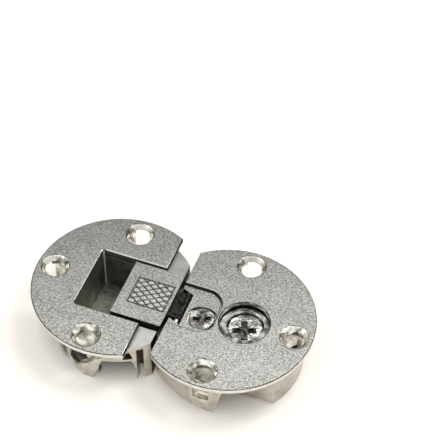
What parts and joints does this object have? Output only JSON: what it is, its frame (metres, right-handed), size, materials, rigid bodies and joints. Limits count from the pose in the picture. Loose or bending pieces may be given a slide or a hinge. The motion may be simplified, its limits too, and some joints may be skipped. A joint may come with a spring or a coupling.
{
  "type": "flush hinge",
  "caption": "Flush hinge for a drop-down flap: two round sunk cups with countersunk plates, a chequered slide block and an adjustable carriage on a hidden pin.",
  "frame": {"origin": "in the joint plane between the two cups, on the surface that the cup bottoms stand on", "axes": "+X from the pocket cup to the screw cup, +Y away from the front, +Z out of the panels' faces"},
  "size_m": [0.0666, 0.04, 0.013],
  "materials": {
    "nickel_casting": "matt nickel plate over a fine-grained zinc die casting",
    "plain_steel": "plain rolled steel",
    "bright_screw": "bright nickel plate",
    "spring_steel": "oiled spring steel"
  },
  "bodies": {
    "pocket_side": {"pocket_cup": "nickel_casting", "hinge_arm": "plain_steel", "arm_rivets": "plain_steel", "brake_spring": "spring_steel"},
    "slide": {"slide_block": "nickel_casting"},
    "carriage_side": {"carriage": "nickel_casting", "hinge_pin": "plain_steel"},
    "flap_side": {"screw_cup": "nickel_casting", "clamp_nut": "plain_steel", "wave_washer": "spring_steel"},
    "adjuster": {"eccentric_screw": "bright_screw", "circlip": "spring_steel"},
    "clamp": {"clamp_screw": "bright_screw"}
  },
  "joints": [
    {"name": "fold", "type": "hinge", "parent": "pocket_side", "child": "carriage_side", "pos_m": [0.00235, 0, 0.0111], "axis": [0, -1, 0], "range_deg": [0, 90]},
    {"name": "slide_travel", "type": "slide", "parent": "pocket_side", "child": "slide", "axis": [-1, 0, 0], "range_m": [0, 0.0082]},
    {"name": "side_adjust", "type": "slide", "parent": "carriage_side", "child": "flap_side", "axis": [1, 0, 0], "range_m": [-0.00045, 0.00045]},
    {"name": "adjuster_turn", "type": "hinge", "parent": "flap_side", "child": "adjuster", "pos_m": [0.0173, 0, 0.01], "axis": [0, 0, 1], "range_deg": [-39.5, 39.5]},
    {"name": "clamp_turn", "type": "hinge", "parent": "flap_side", "child": "clamp", "pos_m": [0.0077, -0.0016, 0.01], "axis": [0, 0, 1], "continuous": true}
  ],
  "couplings": [
    {"joint": "adjuster_turn", "follows": "side_adjust", "rad_per_m": 1519.8}
  ]
}
